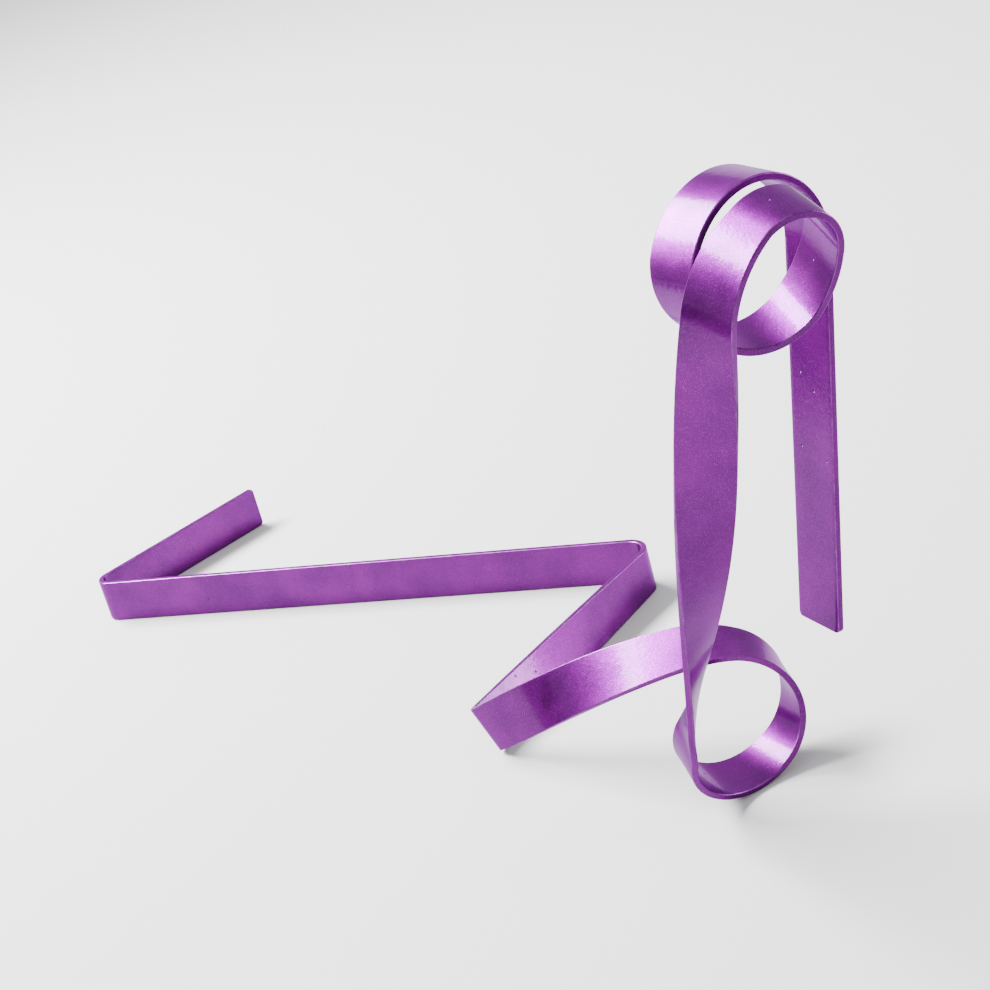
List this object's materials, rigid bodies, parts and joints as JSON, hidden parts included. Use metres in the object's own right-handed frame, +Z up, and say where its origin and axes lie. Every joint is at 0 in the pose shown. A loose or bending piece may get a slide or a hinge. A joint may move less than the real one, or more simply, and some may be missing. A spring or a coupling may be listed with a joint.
{
  "type": "formed flat bar ribbon",
  "caption": "Flat metal bar folded, curled, twisted and coiled into a self-standing ribbon, with an open collar at the top and a free hanging tail.",
  "frame": {"origin": "middle of the bounding box of the footprint, on the ground", "axes": "+Z up, +X along the long straight side of the foot, from its left fold to its right bend"},
  "size_m": [0.3582, 0.2638, 0.1923],
  "materials": {
    "purple_paint": "gloss metallic"
  },
  "bodies": {
    "root": {"end_run": "purple_paint", "left_fold": "purple_paint", "long_run": "purple_paint", "right_bend": "purple_paint", "return_run": "purple_paint", "front_fold": "purple_paint", "front_run": "purple_paint", "curl": "purple_paint", "upright": "purple_paint", "coil_front_turn": "purple_paint", "coil_back_turn": "purple_paint", "tail": "purple_paint"}
  },
  "joints": []
}
